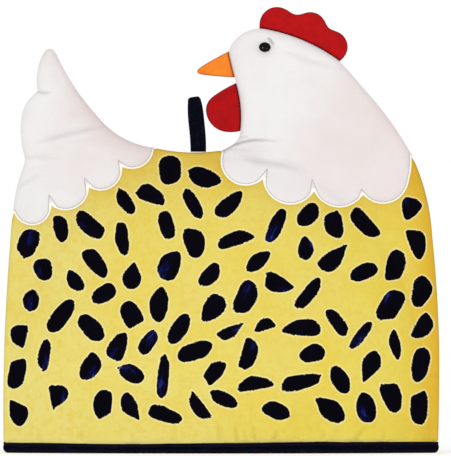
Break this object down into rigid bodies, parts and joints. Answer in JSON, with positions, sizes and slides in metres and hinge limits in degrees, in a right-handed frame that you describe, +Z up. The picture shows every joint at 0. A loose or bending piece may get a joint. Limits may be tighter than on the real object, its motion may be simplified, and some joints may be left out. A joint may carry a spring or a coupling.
{
  "type": "tea cosy",
  "caption": "Padded tea cosy in the shape of a sitting hen, open along its bound hem, with scalloped head and tail covers, a comb, beak and wattle, bead eyes and a tape loop in the back seam.",
  "frame": {"origin": "middle of the cosy's plan, on the surface that its hem stands on", "axes": "+Z up, +X from the tail to the head, -Y out of the front panel"},
  "size_m": [0.3509, 0.1004, 0.3565],
  "materials": {
    "yellow_cotton": "plain-weave cotton printed with blue-black brush dabs, over thin wadding",
    "white_cotton": "plain-weave cotton, padded, topstitched along the scallops",
    "red_cotton": "plain-weave cotton, turned out and pressed",
    "orange_cotton": "plain-weave cotton, turned out and pressed",
    "navy_binding": "folded bias binding, stitched along its upper edge",
    "navy_tape": "twill tape",
    "black_bead": "polished"
  },
  "bodies": {
    "root": {"panel_front": "yellow_cotton", "panel_back": "yellow_cotton", "head_cover_front": "white_cotton", "head_cover_back": "white_cotton", "tail_cover_front": "white_cotton", "tail_cover_back": "white_cotton", "comb": "red_cotton", "wattle": "red_cotton", "beak": "orange_cotton", "eye_front": "black_bead", "eye_back": "black_bead", "hanging_loop": "navy_tape", "hem_binding": "navy_binding"}
  },
  "joints": []
}
